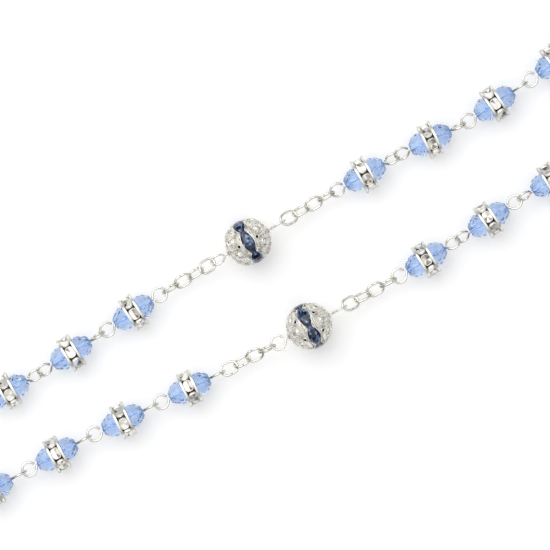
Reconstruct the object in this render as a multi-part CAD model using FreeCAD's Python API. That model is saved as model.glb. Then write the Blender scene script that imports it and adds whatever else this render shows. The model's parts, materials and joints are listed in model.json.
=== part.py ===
"""A five-decade rosary, in millimetres: wire-linked bead units and oval-link chain, laid out on a table.

X and Y lie on the table and +Z is up. The loop is folded in like a horseshoe with a tongue: two nearly
parallel strands run along X through the middle, part at the left and come round to the centrepiece at the
right, where the pendant starts. Every unit pivots on the wire of the eye or link before it.
"""
import FreeCAD, Part
import math
import os

from FreeCAD import Vector

# Wire, eyes and chain links
EYE_WIRE_R = 0.3
EYE_R = 1.7                     # centre line of the wire in an eye
LINK_WIRE_R = 0.275
LINK_LENGTH = 4.7               # outside
LINK_WIDTH = 3.6                # outside
LINK_END_R = (LINK_WIDTH - 2 * LINK_WIRE_R) / 2
LINK_STRAIGHT = LINK_LENGTH / 2 - LINK_WIRE_R - LINK_END_R
LINKS_PER_CHAIN = 4
WIRE_GAP = 0.1                  # between two linked wires

# Hail Mary bead: rondelle, spacer, rondelle
RONDELLE_R = 3.0
RONDELLE_LENGTH = 3.65
RONDELLE_TIP_R = 1.3            # where the wire leaves it
RONDELLE_SEAT_R = 2.65          # where it sits against the spacer
RONDELLE_GIRDLE = (0.5, 1.5)    # where its widest band starts and ends, out from the spacer
RONDELLE_SIDES = 12
BORE_R = 0.36
SPACER_R = 4.25
SPACER_WIDTH = 3.4
SPACER_RIM = 0.55
SPACER_CORE_R = 3.3
BEAD_EYE_X = 7.55               # from the bead's middle to the middle of an eye

# Our Father bead: filigree ball with a belt of navette stones
BALL_R = 5.75
BALL_SHELL_R = 5.5
BELT_WIDTH = 3.2
BELT_SEAT = 4.65                # from the ball's axis to the flat behind a stone
NAVETTES = 6
NAVETTE_LENGTH = 5.4
NAVETTE_WIDTH = 2.9
NAVETTE_BACK = 4.7
NAVETTE_FRONT = 5.75
NAVETTE_TABLE = 0.55            # the table facet's size as a share of the outline
FATHER_EYE_X = 8.4

# Centrepiece, a puffed oval with three rings in its plane
CENTRE_LENGTH = 17.0
CENTRE_WIDTH = 14.0
CENTRE_THICKNESS = 4.0
CENTRE_BEVEL = 1.4
OVAL_END = 0.72                 # an oval's end radius as a share of half its width
CENTRE_SIDE_RING = (8.2, 6.8)   # back from the middle, and out to each side
CENTRE_END_RING = 10.9
RING_STEM = 3.0                 # the bar that joins a ring to the plate
STONE_LENGTH = 7.0
STONE_WIDTH = 5.0
STONE_SINK = 0.8
STONE_PROUD = 0.7

# Cross
CROSS_HEIGHT = 36.0
CROSS_WIDTH = 22.0
CROSS_ARM = 5.0                 # width of the arms
CROSS_THICKNESS = 2.2
CROSS_BEAM_X = 12.0             # from the top to the middle of the cross beam
CROSS_END_R = 3.2               # rounded ends
CROSS_BEVEL = 0.5
BAIL_Z = 2.05

DECADE = 10

# The layout: headings in degrees from +X, sizes in millimetres
BEAD_Z = SPACER_R
FATHER_Z = BALL_R
CENTRE_Z = CENTRE_THICKNESS / 2
CENTRE_AT = (121.0, -0.5)
CHAIN_SAG = 15.0                # how much steeper a chain starts than it runs, in degrees
UPPER_FATHER_AT = (-1.5, 10.1)
LOWER_FATHER_AT = (0.8, -14.7)

UPRIGHT = 90.0                  # the roll of a ring that stands on edge, where 0 is level
UP = Vector(0, 0, 1)


def direction(heading, pitch=0.0):
    """The unit vector of a heading and a rise, both in degrees."""
    level = math.cos(math.radians(pitch))
    across = math.radians(heading)
    return Vector(math.cos(across) * level, math.sin(across) * level, math.sin(math.radians(pitch)))


def box_between(low, high):
    """A box from its lowest corner to its highest."""
    size = high - low
    return Part.makeBox(size.x, size.y, size.z, low)


# ---------------------------------------------------------------- pieces, each along X with its middle at 0


def revolved(profile):
    """The solid of a closed (x, r) outline turned about the X axis."""
    points = [Vector(x, 0, r) for x, r in profile]
    face = Part.Face(Part.makePolygon(points + points[:1]))
    return face.revolve(Vector(0, 0, 0), Vector(1, 0, 0), 360)


def faceted(rings, sides):
    """A solid of flat facets between regular polygons, given as (x, r) along the X axis."""
    loops = []
    for x, r in rings:
        turns = [2 * math.pi * (k + 0.5) / sides for k in range(sides)]
        loops.append([Vector(x, r * math.cos(t), r * math.sin(t)) for t in turns])
    faces = [Part.Face(Part.makePolygon(loop + loop[:1])) for loop in (loops[0], loops[-1])]
    for near, far in zip(loops, loops[1:]):
        for k in range(sides):
            n = (k + 1) % sides
            faces.append(Part.Face(Part.makePolygon([near[k], near[n], far[n], far[k], near[k]])))
    return Part.Solid(Part.Shell(faces))


def x_cylinder(radius, start, end):
    return Part.makeCylinder(radius, end - start, Vector(start, 0, 0), Vector(1, 0, 0))


def rondelle(side):
    """The faceted crystal bead with its bore on one side of the spacer, 1 ahead or -1 behind."""
    seat = SPACER_WIDTH / 2
    start, end = RONDELLE_GIRDLE
    outline = [(0, RONDELLE_SEAT_R), (start, RONDELLE_R), (end, RONDELLE_R), (RONDELLE_LENGTH, RONDELLE_TIP_R)]
    bead = faceted([(side * (seat + out), r) for out, r in outline], RONDELLE_SIDES)
    return bead.cut(x_cylinder(BORE_R, -BEAD_EYE_X, BEAD_EYE_X)).Solids[0]


def spacer():
    """The rhinestone spacer's metal: two rims on a core, with the groove that the stones sit in."""
    half = SPACER_WIDTH / 2
    groove = half - SPACER_RIM
    return revolved(
        [
            (-half, BORE_R),
            (-half, SPACER_R),
            (-groove, SPACER_R),
            (-groove, SPACER_CORE_R),
            (groove, SPACER_CORE_R),
            (groove, SPACER_R),
            (half, SPACER_R),
            (half, BORE_R),
        ]
    )


def eye(at_x, roll):
    """One eye: a ring whose plane holds the X axis, level at a roll of 0 and upright at 90."""
    axis = Vector(0, -math.sin(math.radians(roll)), math.cos(math.radians(roll)))
    return Part.makeTorus(EYE_R, EYE_WIRE_R, Vector(at_x, 0, 0), axis)


def eye_pin(eye_x, back_roll, front_roll):
    """A straight wire with an eye at each end, in one piece."""
    reach = eye_x - EYE_R
    rod = x_cylinder(EYE_WIRE_R, -reach, reach)
    return rod.fuse([eye(-eye_x, back_roll), eye(eye_x, front_roll)]).removeSplitter().Solids[0]


def hail_mary(back_roll, front_roll):
    """Two rondelles, their spacer and the eye pin that carries them."""
    return [rondelle(-1), rondelle(1), spacer(), eye_pin(BEAD_EYE_X, back_roll, front_roll)]


def ball():
    """The filigree ball's metal: two domes on a six-sided belt that the navettes sit on."""
    shell = Part.makeSphere(BALL_SHELL_R)
    half = BELT_WIDTH / 2
    corner = BELT_SEAT / math.cos(math.pi / NAVETTES)
    seats = faceted([(-BELT_WIDTH, corner), (BELT_WIDTH, corner)], NAVETTES)
    seats.rotate(Vector(0, 0, 0), Vector(1, 0, 0), 180 / NAVETTES)
    groove = x_cylinder(2 * BALL_R, -half, half).cut(seats)
    return shell.cut([groove, x_cylinder(BORE_R, -BALL_R, BALL_R)]).Solids[0]


def navette(turn):
    """One pointed oval stone on the belt: its long axis runs round the ball."""
    half_length = NAVETTE_LENGTH / 2
    half_width = NAVETTE_WIDTH / 2
    faces = []
    for height, share in ((NAVETTE_BACK, 1.0), (NAVETTE_FRONT - 0.4, 1.0), (NAVETTE_FRONT, NAVETTE_TABLE)):
        tips = [Vector(0, -half_length * share, height), Vector(0, half_length * share, height)]
        sides = [Vector(-half_width * share, 0, height), Vector(half_width * share, 0, height)]
        arcs = [
            Part.Arc(tips[0], sides[0], tips[1]).toShape(),
            Part.Arc(tips[1], sides[1], tips[0]).toShape(),
        ]
        faces.append(Part.Wire(arcs))
    stone = Part.makeLoft(faces, True, True)
    stone.rotate(Vector(0, 0, 0), Vector(1, 0, 0), turn)
    return stone


def our_father(back_roll, front_roll):
    """The ball, its belt of navettes and the eye pin that carries it."""
    stones = [navette(360 * k / NAVETTES) for k in range(NAVETTES)]
    return [ball()] + stones + [eye_pin(FATHER_EYE_X, back_roll, front_roll)]


def chain_link(roll):
    """An oval wire link, level at a roll of 0 and upright at 90."""
    s = LINK_STRAIGHT
    r = LINK_END_R
    path = Part.Wire(
        [
            Part.LineSegment(Vector(-s, -r, 0), Vector(s, -r, 0)).toShape(),
            Part.Arc(Vector(s, -r, 0), Vector(s + r, 0, 0), Vector(s, r, 0)).toShape(),
            Part.LineSegment(Vector(s, r, 0), Vector(-s, r, 0)).toShape(),
            Part.Arc(Vector(-s, r, 0), Vector(-s - r, 0, 0), Vector(-s, -r, 0)).toShape(),
        ]
    )
    section = Part.Wire(Part.makeCircle(LINK_WIRE_R, Vector(0, -r, 0), Vector(1, 0, 0)))
    link = path.makePipeShell([section], True, False)
    link.rotate(Vector(0, 0, 0), Vector(1, 0, 0), roll)
    return link.Solids[0]


def oval_plate(length, width, low, high):
    """An upright-sided oval plate, its outline drawn with four tangent arcs."""
    a = length / 2
    b = width / 2
    end_r = b * OVAL_END
    side_r = ((a - end_r) ** 2 + b * b - end_r * end_r) / (2 * (b - end_r))
    reach = math.hypot(a - end_r, side_r - b)
    meet_x = side_r * (a - end_r) / reach
    meet_y = side_r * (side_r - b) / reach - (side_r - b)
    corners = [Vector(x * meet_x, y * meet_y, low) for x, y in ((1, -1), (1, 1), (-1, 1), (-1, -1))]
    crowns = [Vector(x * a, y * b, low) for x, y in ((1, 0), (0, 1), (-1, 0), (0, -1))]
    arcs = [Part.Arc(corners[k], crowns[k], corners[(k + 1) % 4]).toShape() for k in range(4)]
    return Part.Face(Part.Wire(arcs)).extrude(Vector(0, 0, high - low))


def edges_at(shape, height):
    """The edges that lie level at one height."""
    level = [e for e in shape.Edges if e.BoundBox.ZLength < 1e-6]
    return [e for e in level if abs(e.BoundBox.ZMin - height) < 1e-6]


def centre_medal():
    """The bevelled oval with its flat back at the bottom, two rings for the loop and one for the pendant."""
    half = CENTRE_THICKNESS / 2
    body = oval_plate(CENTRE_LENGTH, CENTRE_WIDTH, -half, half)
    body = body.makeChamfer(CENTRE_BEVEL, edges_at(body, half) + edges_at(body, -half))
    seat = oval_plate(STONE_LENGTH, STONE_WIDTH, half - STONE_SINK, half + 1)
    back, side = CENTRE_SIDE_RING
    rings = []
    for x, y in ((-back, side), (-back, -side), (CENTRE_END_RING, 0)):
        inward = Vector(-x, -y, 0).normalize()
        rings.append(Part.makeTorus(EYE_R, EYE_WIRE_R, Vector(x, y, 0), UP))
        rings.append(Part.makeCylinder(EYE_WIRE_R, RING_STEM, Vector(x, y, 0) + inward * EYE_R, inward))
    return body.cut(seat).fuse(rings).removeSplitter().Solids[0]


def centre_stone():
    """The bevelled oval stone in the centrepiece's seat."""
    top = CENTRE_THICKNESS / 2 + STONE_PROUD
    clear = 0.1
    stone = oval_plate(STONE_LENGTH - clear, STONE_WIDTH - clear, top - STONE_PROUD - STONE_SINK, top)
    return stone.makeChamfer(STONE_PROUD, edges_at(stone, top)).Solids[0]


def cross():
    """A plain cross lying on its flat back, with rounded ends and an upright bail at its head."""
    low = BAIL_Z
    head = EYE_R + 0.1
    arm = CROSS_ARM / 2
    beam = head + CROSS_BEAM_X
    foot = head + CROSS_HEIGHT
    side = CROSS_WIDTH / 2
    stem = box_between(Vector(head, -arm, -low), Vector(foot - CROSS_END_R, arm, CROSS_THICKNESS - low))
    bar = box_between(
        Vector(beam - arm, -side + CROSS_END_R, -low),
        Vector(beam + arm, side - CROSS_END_R, CROSS_THICKNESS - low),
    )
    ends = [
        Vector(foot - CROSS_END_R, 0, -low),
        Vector(head + CROSS_END_R, 0, -low),
        Vector(beam, side - CROSS_END_R, -low),
        Vector(beam, -side + CROSS_END_R, -low),
    ]
    discs = [Part.makeCylinder(CROSS_END_R, CROSS_THICKNESS, at, UP) for at in ends]
    plate = stem.fuse([bar] + discs).removeSplitter()
    plate = plate.makeChamfer(CROSS_BEVEL, edges_at(plate, CROSS_THICKNESS - low))
    return plate.fuse(eye(0, 90)).removeSplitter().Solids[0]


# ---------------------------------------------------------------- the strand


class Element:
    """One unit of a strand: what it is, how far its end rings are from its middle, and where it lies."""

    def __init__(self, kind, heading=0.0, roll=0.0, pitch=0.0):
        self.kind = kind
        self.heading = heading
        self.roll = roll            # of its front ring
        self.pitch = pitch
        self.back_roll = UPRIGHT
        self.middle = None
        self.reach = {"bead": BEAD_EYE_X, "father": FATHER_EYE_X, "link": LINK_STRAIGHT, "cross": 0.0}[kind]
        self.ring_r = LINK_END_R if kind == "link" else EYE_R
        self.wire_r = LINK_WIRE_R if kind == "link" else EYE_WIRE_R

    def along(self):
        return direction(self.heading, self.pitch)

    def turn(self):
        level = FreeCAD.Rotation(UP, self.heading)
        return level.multiply(FreeCAD.Rotation(Vector(0, 1, 0), -self.pitch))

    def ring_normal(self, roll_degrees):
        roll = math.radians(roll_degrees)
        return self.turn().multVec(Vector(0, -math.sin(roll), math.cos(roll)))

    def normal(self):
        """Square to the plane of its front ring."""
        return self.ring_normal(self.roll)

    def back_normal(self):
        return self.ring_normal(self.back_roll)

    def front(self):
        return self.middle + self.along() * self.reach

    def back(self):
        return self.middle - self.along() * self.reach

    def height(self):
        return {"bead": BEAD_Z, "father": FATHER_Z, "link": 0.0, "cross": BAIL_Z}[self.kind]


class Ring:
    """A ring that a strand starts from, such as one of the centrepiece's."""

    def __init__(self, at):
        self.at = at
        self.roll = 0.0
        self.ring_r = EYE_R
        self.wire_r = EYE_WIRE_R

    def normal(self):
        return UP

    def front(self):
        return self.at


def pull(before, unit):
    """Which way a unit pulls on the ring before it, in that ring's plane."""
    along = unit.along()
    normal = before.normal()
    return (along - normal * normal.dot(along)).normalize()


def past_wire(before, unit):
    """From the wire that a unit hangs on to the middle of the unit's own back ring."""
    return unit.ring_r - unit.wire_r - before.wire_r - WIRE_GAP


def lay_forward(strand, before):
    """Places units one after another, each pulled straight out of the ring before it."""
    for unit in strand:
        wire = before.front() + pull(before, unit) * before.ring_r
        unit.middle = wire + unit.along() * (past_wire(before, unit) + unit.reach)
        before = unit


def ring_before(before, unit):
    """Where the middle of the ring lies that a placed unit hangs from."""
    wire = unit.back() - unit.along() * past_wire(before, unit)
    return wire - pull(before, unit) * before.ring_r


def lay_backward(strand, after):
    """Places units before a placed one, and returns the ring that the first would hang from."""
    for unit in reversed(strand):
        unit.middle = ring_before(unit, after) - unit.along() * unit.reach
        after = unit
    return ring_before(Ring(None), after)


def set_chain_pitches(strand, start_ring):
    """Slopes each chain section so that it sags and still ends at the height of what follows."""
    for k in range(0, len(strand)):
        if strand[k].kind != "link" or (k and strand[k - 1].kind == "link"):
            continue
        links = strand[k:k + LINKS_PER_CHAIN]
        after = strand[k + LINKS_PER_CHAIN]
        before = start_ring
        if k:
            before = strand[k - 1]
            before.middle = Vector(0, 0, before.height())
        level = min(before.front().z, after.height()) >= BEAD_Z
        sag = CHAIN_SAG if level else 0.0
        shape = [-sag, -sag / 3, sag / 3, sag]
        slope = 0.0
        for _ in range(20):
            for link, extra in zip(links, shape):
                link.pitch = slope + extra
            lay_forward(links + [after], before)
            slope += math.degrees((after.height() - after.middle.z) / (LINKS_PER_CHAIN * LINK_LENGTH))


def rest_on_table(strand):
    """Sets every bead to its own height, which the slack in its eyes allows."""
    for unit in strand:
        if unit.kind != "link":
            unit.middle.z = unit.height()


def set_rolls(strand, start_ring):
    """Turns each unit's rings so that every pair of linked rings is at right angles."""
    before = start_ring
    for unit in strand:
        unit.back_roll = before.roll + UPRIGHT
        if unit.kind == "link":
            unit.roll = unit.back_roll
        before = unit


def chain(heading=0.0):
    return [Element("link", heading) for _ in range(LINKS_PER_CHAIN)]


def beads(headings, rolls=None):
    return [Element("bead", h, r) for h, r in zip(headings, rolls or [UPRIGHT] * len(headings))]


def lead_in(next_beads):
    """The units that come round from the centrepiece to the first bend: a decade, an Our Father and the
    start of the next decade. Their headings are found by close_loop."""
    decade = beads([0.0] * DECADE)
    return chain() + decade + chain() + [Element("father", 0, UPRIGHT)] + chain() + beads([0.0] * next_beads)


def close_loop(hidden, shown, ring, first, last):
    """Bends the lead-in along one smooth curve whose first unit hangs from the given ring. first and last
    are rough headings of its two ends, which are solved for."""
    lengths = [2 * unit.reach + 2 * EYE_R for unit in hidden]
    total = sum(lengths)

    def bend(first, last):
        run = 0.0
        for unit, length in zip(hidden, lengths):
            share = (run + length / 2) / total
            unit.heading = first + (last - first) * share
            run += length
        return lay_backward(hidden, shown[0])

    step = 0.05
    for _ in range(30):
        at = bend(first, last)
        miss = Vector(ring.x - at.x, ring.y - at.y, 0)
        if miss.Length < 1e-6:
            break
        a = (bend(first + step, last) - at) * (1 / step)
        b = (bend(first, last + step) - at) * (1 / step)
        det = a.x * b.y - a.y * b.x
        first += (miss.x * b.y - miss.y * b.x) / det
        last += (a.x * miss.y - a.y * miss.x) / det
    bend(first, last)
    return first, last


# ---------------------------------------------------------------- the layout


def lay_arm(hidden, to_father, father, onward, ring, first, last):
    """Lays one side of the loop around its middle Our Father, and closes it on the centrepiece's ring."""
    strand = hidden + to_father + [father] + onward
    set_rolls(strand, ring)
    place = father.middle
    for _ in range(3):
        set_chain_pitches(strand, ring)
        father.middle = place
        lay_backward(to_father, father)
        lay_forward(onward, father)
        first, last = close_loop(hidden, to_father, ring.at, first, last)
    rest_on_table(strand)
    return strand


def upper_arm(ring):
    """From the centrepiece round the far side and along the upper strand to the middle of decade 3."""
    to_father = beads([272, 314, 350, 359, 362, 363], [UPRIGHT] * 5 + [0]) + chain(0.5)
    father = Element("father", 0, UPRIGHT)
    father.middle = Vector(*UPPER_FATHER_AT, FATHER_Z)
    onward = chain(-0.5) + beads([-1, -5, 3, 6, -40])
    return lay_arm(lead_in(DECADE - 6), to_father, father, onward, ring, 95, 250)


def lower_arm(ring):
    """The same along the near side and the lower strand."""
    to_father = beads([-250, -292, -334, -362, -362, -365, -364.5]) + chain(-3)
    father = Element("father", -2, UPRIGHT)
    father.middle = Vector(*LOWER_FATHER_AT, FATHER_Z)
    onward = chain(-1.5) + beads([1, 3, 0, -11.5, 54])
    return lay_arm(lead_in(DECADE - 7), to_father, father, onward, ring, -95, -250)


def pendant(ring):
    """From the centrepiece's end ring, curling round outside the loop, to the cross."""
    strand = chain(-70) + [Element("father", -100, UPRIGHT)] + chain(-110)
    strand += beads([-112, -120, -128]) + chain(-134)
    strand += [Element("father", -140)] + chain(-146) + [Element("cross", -152)]
    set_rolls(strand, ring)
    set_chain_pitches(strand, ring)
    lay_forward(strand, ring)
    rest_on_table(strand)
    return strand


def decade_bodies(decade, order, sizes):
    """Names and sizes of the bodies that a decade's beads are grouped into, in the order they are met."""
    bodies = []
    met = 0
    for size in sizes:
        numbers = sorted(order[met:met + size])
        plural = "beads" if size > 1 else "bead"
        bodies.append((f"decade_{decade}_{plural}_" + "_".join(f"{n:02d}" for n in numbers), size))
        met += size
    return bodies


def body_plans():
    """For each strand, its bodies in order as (name, number of units)."""
    up = list(range(1, DECADE + 1))
    down = up[::-1]
    pairs = [2] * (DECADE // 2)
    near_bend = [2, 2, 2, 1, 1, 1, 1]
    links = LINKS_PER_CHAIN
    upper = [("chain_to_decade_1", links)] + decade_bodies(1, up, pairs)
    upper += [("chain_from_decade_1", links), ("our_father_1", 1), ("chain_to_decade_2", links)]
    upper += decade_bodies(2, up, near_bend)
    upper += [("chain_from_decade_2", links), ("our_father_2", 1), ("chain_to_decade_3", links)]
    upper += decade_bodies(3, up, [1] * (DECADE // 2))
    lower = [("chain_from_decade_5", links)] + decade_bodies(5, down, pairs)
    lower += [("chain_to_decade_5", links), ("our_father_4", 1), ("chain_from_decade_4", links)]
    lower += decade_bodies(4, down, near_bend)
    lower += [("chain_to_decade_4", links), ("our_father_3", 1), ("chain_from_decade_3", links)]
    lower += decade_bodies(3, down, [1] * (DECADE // 2))
    hanging = [("pendant_chain_1", links), ("pendant_our_father_1", 1), ("pendant_chain_2", links)]
    hanging += [(f"pendant_bead_{n}", 1) for n in (1, 2, 3)]
    hanging += [("pendant_chain_3", links), ("pendant_our_father_2", 1), ("pendant_chain_4", links)]
    hanging += [("cross", 1)]
    return upper, lower, hanging


def unit_solids(unit, made):
    """The unit's pieces where they lie. made keeps one of each kind, which the others are copied from."""
    key = (unit.kind, unit.back_roll % 180, unit.roll % 180)
    if key not in made:
        made[key] = {
            "bead": lambda: hail_mary(unit.back_roll, unit.roll),
            "father": lambda: our_father(unit.back_roll, unit.roll),
            "link": lambda: [chain_link(unit.roll)],
            "cross": lambda: [cross()],
        }[unit.kind]()
    frame = FreeCAD.Placement(unit.middle, unit.turn()).toMatrix()
    return [solid.transformed(frame) for solid in made[key]]


def pivot(before, unit):
    """The hinge between a unit and the ring before it. Of the two linked wires, it is the one that lies more
    nearly level where they meet, so that the unit swings up and down. Its axis points to the left."""
    along = unit.along()
    towards = pull(before, unit)
    if abs(before.normal().z) > abs(unit.back_normal().z):
        at = before.front() + towards * before.ring_r
        axis = before.normal().cross(towards)
    else:
        at = unit.back() - along * unit.ring_r
        axis = unit.back_normal().cross(along)
    return at, axis if axis.dot(UP.cross(along)) > 0 else -axis


def build():
    """All nodes as name: solids, and all hinges as (parent, child, position, axis)."""
    back, side = CENTRE_SIDE_RING
    centre = Vector(*CENTRE_AT, CENTRE_Z)
    corners = [(-back, side), (-back, -side), (CENTRE_END_RING, 0)]
    rings = [centre + Vector(x, y, 0) for x, y in corners]
    nodes = {}
    for name, solid in (("centrepiece", centre_medal()), ("centrepiece_stone", centre_stone())):
        solid.translate(centre)
        nodes[name] = [solid]
    hinges = []
    made = {}
    for lay, plan, at in zip((upper_arm, lower_arm, pendant), body_plans(), rings):
        before = Ring(at)
        strand = lay(before)
        parent = "centrepiece"
        for name, count in plan:
            units = strand[:count]
            strand = strand[count:]
            hinges.append((parent, name) + pivot(before, units[0]))
            nodes[name] = [solid for unit in units for solid in unit_solids(unit, made)]
            before = units[-1]
            parent = name
    return nodes, hinges


def centred(nodes, hinges):
    """The same, moved so that the origin is under the middle of the whole rosary."""
    whole = Part.makeCompound([solid for solids in nodes.values() for solid in solids])
    middle = whole.optimalBoundingBox(True, False).Center
    shift = Vector(-middle.x, -middle.y, 0)
    moved = {name: [solid.translated(shift) for solid in solids] for name, solids in nodes.items()}
    return moved, [(parent, child, at + shift, axis) for parent, child, at, axis in hinges]


NODES, HINGES = centred(*build())

os.makedirs("parts", exist_ok=True)
for node, solids in NODES.items():
    Part.makeCompound(solids).exportStep(f"parts/{node}.step")
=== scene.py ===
"""The looks of the rosary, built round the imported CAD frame.

Every bead, Our Father and link gets its place from its own CAD solid. The pieces are drawn in millimetres
along X with their middle at 0, and Z is up as they lie on the table.
"""

import json
import math
import random

import bmesh
import bpy
import numpy as np
from mathutils import Matrix, Vector

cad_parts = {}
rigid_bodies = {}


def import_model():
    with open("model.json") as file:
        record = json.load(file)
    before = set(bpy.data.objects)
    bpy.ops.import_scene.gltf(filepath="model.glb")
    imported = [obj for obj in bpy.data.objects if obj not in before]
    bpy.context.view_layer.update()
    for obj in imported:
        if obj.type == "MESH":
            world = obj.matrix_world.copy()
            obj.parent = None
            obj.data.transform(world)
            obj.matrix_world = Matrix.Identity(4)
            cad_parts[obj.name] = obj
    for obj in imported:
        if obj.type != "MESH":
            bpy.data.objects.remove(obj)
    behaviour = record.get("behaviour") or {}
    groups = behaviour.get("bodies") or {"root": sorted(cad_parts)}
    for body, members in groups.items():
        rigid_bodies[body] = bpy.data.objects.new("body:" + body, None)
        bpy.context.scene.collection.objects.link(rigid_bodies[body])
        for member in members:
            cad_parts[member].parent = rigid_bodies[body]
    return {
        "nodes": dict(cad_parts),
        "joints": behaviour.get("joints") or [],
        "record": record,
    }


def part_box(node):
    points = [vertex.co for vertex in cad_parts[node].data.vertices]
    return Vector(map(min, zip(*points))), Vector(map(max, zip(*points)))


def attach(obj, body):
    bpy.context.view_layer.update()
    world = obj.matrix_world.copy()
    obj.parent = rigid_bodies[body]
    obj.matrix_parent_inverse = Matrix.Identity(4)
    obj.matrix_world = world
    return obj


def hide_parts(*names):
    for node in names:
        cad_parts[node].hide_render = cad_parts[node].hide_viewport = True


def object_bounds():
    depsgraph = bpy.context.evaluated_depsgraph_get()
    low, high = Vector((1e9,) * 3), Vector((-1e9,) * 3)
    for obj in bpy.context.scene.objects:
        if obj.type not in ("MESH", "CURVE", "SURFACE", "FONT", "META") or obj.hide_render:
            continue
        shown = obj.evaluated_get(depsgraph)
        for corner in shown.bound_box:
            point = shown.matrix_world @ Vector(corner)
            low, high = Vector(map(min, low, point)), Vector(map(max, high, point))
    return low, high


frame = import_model()
cad_low, cad_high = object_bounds()

MM = 0.001
AHEAD = Vector((1, 0, 0))
ASIDE = Vector((0, 1, 0))
UP = Vector((0, 0, 1))

# Wire and chain
EYE_WIRE_R = 0.3
EYE_R = 1.7
LINK_WIRE_R = 0.31
LINK_END_R = 1.525
LINK_STRAIGHT = 0.55
SEAM = 0.05                     # the gap where a link's ends meet

# Hail Mary bead
BEAD_EYE_X = 7.55
BORE_R = 0.36
SPACER_HALF = 1.7
SPACER_R = 4.25
SPACER_RIM = 0.62
SPACER_CORE_R = 3.3
SPACER_STONES = 7
CRYSTAL_SIDES = 9
# outline of a rondelle: out from the spacer, and radius; every other ring is turned half a facet
CRYSTAL_RINGS = ((0.02, 2.62), (0.95, 3.0), (2.35, 2.42), (3.62, 1.28))

# Our Father bead
FATHER_EYE_X = 8.4
INSIDE_R = 4.75                 # a dark inner ball, painted shade that shows through the openings
SHELL_R = 5.35
SETTING_R = 5.5                 # where the stones and grains on the domes sit
BELT_HALF = 1.6
NAVETTES = 6
DOME_STONES = 6

# Cross and centrepiece
CROSS_EDGE = 1.7                # of the beaded edges, from the middle of each arm
CROSS_ENDS = ((20.8, 0), (-8.8, 0), (0, 7.8), (0, -7.8))
# each stone's place from where stem and beam cross, and its radius
CROSS_STONES = (
    [(0, 0, 1.6)]
    + [(x, y, 1.5) for x, y in CROSS_ENDS]
    + [(3.5 + 2.35 * k, 0, 0.85) for k in range(7)]
    + [(-3.3, 0, 0.85), (-5.7, 0, 0.85), (0, 4.1, 0.85), (0, -4.1, 0.85)]
)
CENTRE_PROUD = 0.7              # of the middle stone, over the oval's face
WREATH_STONES = 16
EDGE_GRAINS = 64

# How far, in degrees, some rings are rolled from level or upright as the rosary happens to lie. A body's
# turn rolls its own back eye and the eye that it hangs from.
EYE_TURNS = {
    "decade_2_bead_09": 42,
    "decade_2_bead_10": 12,
    "our_father_2": 38,
    "decade_3_bead_01": 28,
    "decade_3_bead_02": 40,
    "decade_3_bead_03": 15,
    "decade_3_bead_09": 50,
    "decade_3_bead_08": 65,
}
LINK_TURNS = (-16, 34, 30, -16)      # of a chain's four links
# Spacers that are turned so that their stones face up as they happen to lie. The others are turned by chance.
SPACER_TURNS = {
    "decade_2_bead_09": -3,
    "decade_2_bead_10": 7,
    "decade_3_bead_01": 22,
    "decade_3_bead_02": 18,
    "decade_3_bead_03": 2,
    "decade_4_bead_03": -5,
    "decade_4_bead_02": 12,
    "decade_4_bead_01": -10,
    "decade_3_bead_10": 1,
    "decade_3_bead_09": -12,
}
BELT_TURNS = {"our_father_3": 30}

# The view
VIEW_WIDTH = 132.0              # across the picture, on the table
VIEW_TURN = -30.6               # the picture's level, from +X, in degrees
VIEW_FROM = 1500.0              # height of the camera
VIEW_SHIFT = (0.35, 2.3)        # of the picture's middle, from midway between its two balls
VIEW_HEIGHT = 0.0045            # of the level that it looks at, in metres
SENSOR = 36.0

# Light
WINDOW_SIZE = 1.1               # of the round window, in metres
WINDOW_POWER = 4.0
TABLE_GLOW = 0.2
# the tent's brightness, by the height of the direction, from level at 0 to straight up at 1
TENT = (
    (0.0, (0.05, 0.05, 0.05)),
    (0.3, (0.13, 0.13, 0.12)),
    (0.55, (0.56, 0.56, 0.55)),
    (0.85, (1.0, 1.0, 1.0)),
)


# ---------------------------------------------------------------- materials


def new_material(name):
    material = bpy.data.materials.new(name)
    material.use_nodes = True
    tree = material.node_tree
    return material, tree, tree.nodes["Principled BSDF"]


def noise(tree, scale, detail=2.0):
    """Noise in the object's own space, its scale in features per metre."""
    place = tree.nodes.new("ShaderNodeTexCoord")
    texture = tree.nodes.new("ShaderNodeTexNoise")
    texture.inputs["Scale"].default_value = scale
    texture.inputs["Detail"].default_value = detail
    tree.links.new(place.outputs["Object"], texture.inputs["Vector"])
    return texture.outputs["Fac"]


def ramp(tree, value, stops):
    """Colours along a value, given as (position, colour)."""
    node = tree.nodes.new("ShaderNodeValToRGB")
    while len(node.color_ramp.elements) < len(stops):
        node.color_ramp.elements.new(0.5)
    for element, (position, colour) in zip(node.color_ramp.elements, stops):
        element.position = position
        element.color = (*colour, 1)
    tree.links.new(value, node.inputs["Fac"])
    return node.outputs["Color"]


def spread(tree, value, low, high):
    """A value from 0 to 1 mapped onto low to high."""
    node = tree.nodes.new("ShaderNodeMapRange")
    node.inputs["To Min"].default_value = low
    node.inputs["To Max"].default_value = high
    tree.links.new(value, node.inputs["Value"])
    return node.outputs["Result"]


def bump(tree, shader, height, strength, distance):
    node = tree.nodes.new("ShaderNodeBump")
    node.inputs["Strength"].default_value = strength
    node.inputs["Distance"].default_value = distance
    tree.links.new(height, node.inputs["Height"])
    tree.links.new(node.outputs["Normal"], shader.inputs["Normal"])


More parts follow.
